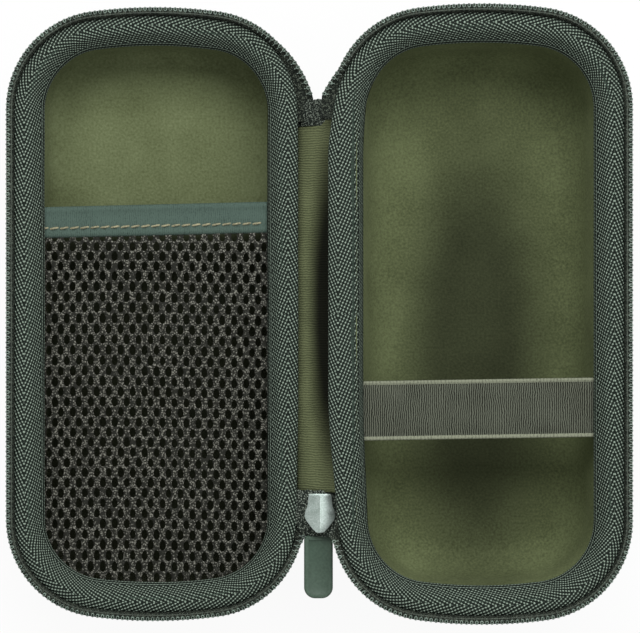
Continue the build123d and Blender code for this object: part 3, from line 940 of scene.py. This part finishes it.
# %% [markdown]
# The spine is two cloths back to back: woven cover outside and a ribbed lining inside. It spans from the
# base's rim down to the lid's, hanging between the two as a slack strip, and folds along both edges when
# the case is closed. Its lining shows small waves where its edges are sewn.

# %% Spine
spine_rows, spine_columns = 120, 14
spine_slack = 4.2 * MM
spine_girth = 17.5 * MM


def spine_sheet(name, low, high, lift):
    """Strip across the spine, from the lid's side up to the base's, with a slight hollow between them."""
    def spot(y, across):
        share = across / spine_girth
        ends = smooth_step(min(y - low.y, high.y - y) / (high.y - low.y) * 4)
        hollow = spine_slack * ends * math.sin(math.pi * share**1.6) * (1 + 0.15 * math.sin(y * 160))
        edge = 0.12 * MM * math.sin(y * 420) * (1 - math.sin(math.pi * share))
        across_x = low.x + (high.x - low.x) * share
        return Vector((across_x, y, low.z + (high.z - low.z) * share + lift - hollow + edge))
    return sheet_over(name, evenly(low.y, high.y, spine_rows), evenly(0, spine_girth, spine_columns), spot)


for node, box, lift, finish, slot_name in (
    ("spine_cover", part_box("spine_cover"), -0.3 * MM, cover_finish, "woven_cover"),
    ("spine_lining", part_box("spine_lining"), 0.0, spine_finish, "ribbed_lining"),
):
    cloth = spine_sheet(node + "_cloth", *box, lift)
    thicken(cloth, 0.4 * MM)
    settle(cloth, finish, "spine", slot_name, node)

# %% [markdown]
# At the top of the zip the two tapes are tucked together into a small dark tab on the end of the spine. At the
# bottom they are sewn into one narrow tail that runs into the slider. Both are short scraps of tape, puckered
# by their stitching, so each is a small sheet with folds.

# %% Ends of the zip
scrap_rows, scrap_columns = 24, 20


def scrap(name, middle, width, length, lift, body, node, pucker, taper=0.0):
    """Small puckered sheet round this middle; lift(u, v) is its height, u and v run from -1 to 1, and taper draws
    in its low end."""
    def spot(y, across):
        u, v = 2 * across / width, 2 * y / length
        narrowed = 1 - 0.1 * max(0.0, v) ** 2 - taper * max(0.0, -v) ** 2
        fold = pucker * (math.sin(u * 7 + v * 2) + 0.6 * math.sin(v * 9 - u * 3)) * (1 - 0.5 * abs(u))
        ragged = 0.3 * MM * math.sin(u * 23) * math.sin(u * 11 + 1) * max(0.0, v)
        return middle + Vector((across * narrowed, y + ragged, lift(u, v) + fold))
    along, across = evenly(-length / 2, length / 2, scrap_rows), evenly(-width / 2, width / 2, scrap_columns)
    piece = sheet_over(name, along, across, spot)
    thicken(piece, 0.5 * MM)
    settle(piece, tab_finish, body, "herringbone_tape", node)


top_low, top_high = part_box("zip_end_tab_top")
scrap(
    "zip_top_tab", (top_low + top_high) / 2 + Vector((-0.5 * MM, -0.5 * MM, 1.1 * MM)), 12.8 * MM, 8.4 * MM,
    lambda u, v: 5.2 * MM * u - 0.9 * MM * u * u + 0.9 * MM * v, "spine", "zip_end_tab_top", 0.16 * MM,
)
tail_low, tail_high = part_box("zip_end_tab_bottom")
tail_middle = (tail_low + tail_high) / 2
scrap(
    "zip_tail_scrap", Vector((0.2 * MM, tail_middle.y - 3.1 * MM, tail_middle.z - 1.6 * MM)), 15.6 * MM, 14.8 * MM,
    lambda u, v: 2.8 * MM * u - 0.6 * MM * v, "zip_tail", "zip_end_tab_bottom", 0.12 * MM, 0.35,
)

# %% [markdown]
# The slider is a zinc casting and the puller hangs in its bridge: a stamped link and a moulded grip. Each
# piece starts as a copy of the CAD's mesh. Doubles are merged, and the edges get the small round that tumbling
# or a mould leaves. The casting is also drawn in at its flat end and towards its nose, at half widths listed
# by their place along the zip, both in millimetres.

# %% Slider and puller
def dressed_copy(node, name, finish, body, slot_name, edge_round):
    """Copy of a CAD node with merged corners, rounded edges and smooth faces."""
    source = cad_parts[node]
    work = bmesh.new()
    work.from_mesh(source.data)
    work.transform(source.matrix_world)
    bmesh.ops.remove_doubles(work, verts=work.verts, dist=0.01 * MM)
    bmesh.ops.recalc_face_normals(work, faces=work.faces)
    piece = add_from(name, work)
    rounds = piece.modifiers.new("edge_round", "BEVEL")
    rounds.width = edge_round
    rounds.segments = 2
    rounds.limit_method = "ANGLE"
    rounds.angle_limit = math.radians(35)
    settle(piece, finish, body, slot_name, node)
    return piece


half_widths = [
    (-58.5, 3.67), (-61.1, 3.9), (-62.2, 4.12), (-63.1, 4.58), (-64.8, 4.93), (-65.7, 4.77), (-66.7, 4.29),
    (-67.7, 3.54), (-68.8, 2.7), (-69.9, 1.6), (-70.4, 0.9),
]
ridge_slope = 0.16
face_depth = 1.1 * MM


def flare_casting(piece):
    """Draws the slider's sides in beside its flat end, narrows its nose and gives its face a clear ridge."""
    work = bmesh.new()
    work.from_mesh(piece.data)
    middle = sum(v.co.x for v in work.verts) / len(work.verts)
    top = max(v.co.z for v in work.verts)
    for y, _ in half_widths:
        everything = work.verts[:] + work.edges[:] + work.faces[:]
        bmesh.ops.bisect_plane(work, geom=everything, dist=1e-7, plane_co=(0, y * MM, 0), plane_no=(0, 1, 0))
    shares = []
    for y, wide in half_widths:
        reach = max((abs(v.co.x - middle) for v in work.verts if abs(v.co.y - y * MM) < 0.05 * MM), default=wide * MM)
        shares.append((y * MM, min(1.15, wide * MM / reach)))
    for edge in work.edges:
        on_ridge = all(abs(v.co.x - middle) < 0.15 * MM and v.co.z > top - face_depth for v in edge.verts)
        edge.smooth = not on_ridge
    for v in work.verts:
        share = shares[0][1] if v.co.y > shares[0][0] else shares[-1][1]
        for (high, first), (low, second) in zip(shares, shares[1:]):
            if low <= v.co.y <= high:
                share = first + (second - first) * (high - v.co.y) / (high - low)
        v.co.x = middle + (v.co.x - middle) * share
        if v.co.z > top - face_depth:
            v.co.z -= ridge_slope * abs(v.co.x - middle)
    work.to_mesh(piece.data)
    work.free()


slider = dressed_copy("slider_body", "slider_casting", zinc_finish, "slider", "cast_zinc", 0.18 * MM)
flare_casting(slider)
dressed_copy("puller_link", "puller_link_stamping", zinc_finish, "puller", "cast_zinc", 0.12 * MM)
dressed_copy("puller_grip", "puller_grip_moulding", grip_finish, "puller", "moulded_grip", 0.2 * MM)

# %% [markdown]
# The case lies on a white sweep. It is mostly its own light for the camera, so that it stays white, with a
# share of plain white paper that keeps the case's soft shadow. One large window of light stands beyond the
# top edge of the picture, a small card at the right gives the slider its bright half, and a dimmer surround
# fills the shadows.

# %% Light and background
bpy.ops.object.select_all(action="DESELECT")
bpy.ops.mesh.primitive_plane_add(size=6.0, location=(0, 0, 0))
sweep = bpy.context.active_object
sweep.name = "white_sweep"
sweep.location.z = cad_box[0][2] - 0.2 * MM
paper = bpy.data.materials.new("paper, white and matt")
paper.use_nodes = True
white = (1.0, 1.0, 1.0, 1.0)
glow_share = 0.93
paper_tree = paper.node_tree
paper_tree.nodes.clear()
seen = add_node(paper_tree, "LightPath").outputs["Is Camera Ray"]
directly = add_node(paper_tree, "Math", {0: seen, 1: glow_share}, "MULTIPLY")
matt = add_node(paper_tree, "BsdfDiffuse", {"Color": (0.8, 0.8, 0.8, 1.0)})
glow = add_node(paper_tree, "Emission", {"Color": white, "Strength": 1.0})
mixed = add_node(paper_tree, "MixShader", {0: directly, 1: matt, 2: glow})
add_node(paper_tree, "OutputMaterial", {"Surface": mixed})
sweep.data.materials.append(paper)

surround = bpy.data.worlds.new("surround")
bpy.context.scene.world = surround
surround.use_nodes = True
sky = surround.node_tree
sky.nodes.clear()
ray = add_node(sky, "LightPath").outputs["Is Camera Ray"]
fill_light = add_node(sky, "Background", {"Color": (1.0, 1.0, 0.985, 1.0), "Strength": 0.55})
blank = add_node(sky, "Background", {"Color": white, "Strength": 1.0})
add_node(sky, "OutputWorld", {"Surface": add_node(sky, "MixShader", {0: ray, 1: fill_light, 2: blank})})


def area_light(name, place, energy, **form):
    """Area light of this form and energy, aimed from this place at the middle of the case."""
    data = bpy.data.lights.new(name, "AREA")
    data.energy = energy
    for key, value in form.items():
        setattr(data, key, value)
    light = add_object(name, data)
    light.location = place
    light.rotation_euler = (-light.location).to_track_quat("-Z", "Y").to_euler()


area_light("window_light", (0.04, 0.50, 0.84), 9.0, shape="RECTANGLE", size=0.9, size_y=0.5)
area_light("side_card", (0.52, -0.05, 0.80), 1.0, shape="DISK", size=0.35)
bpy.context.scene.view_settings.view_transform = "Standard"
print("lights ready")
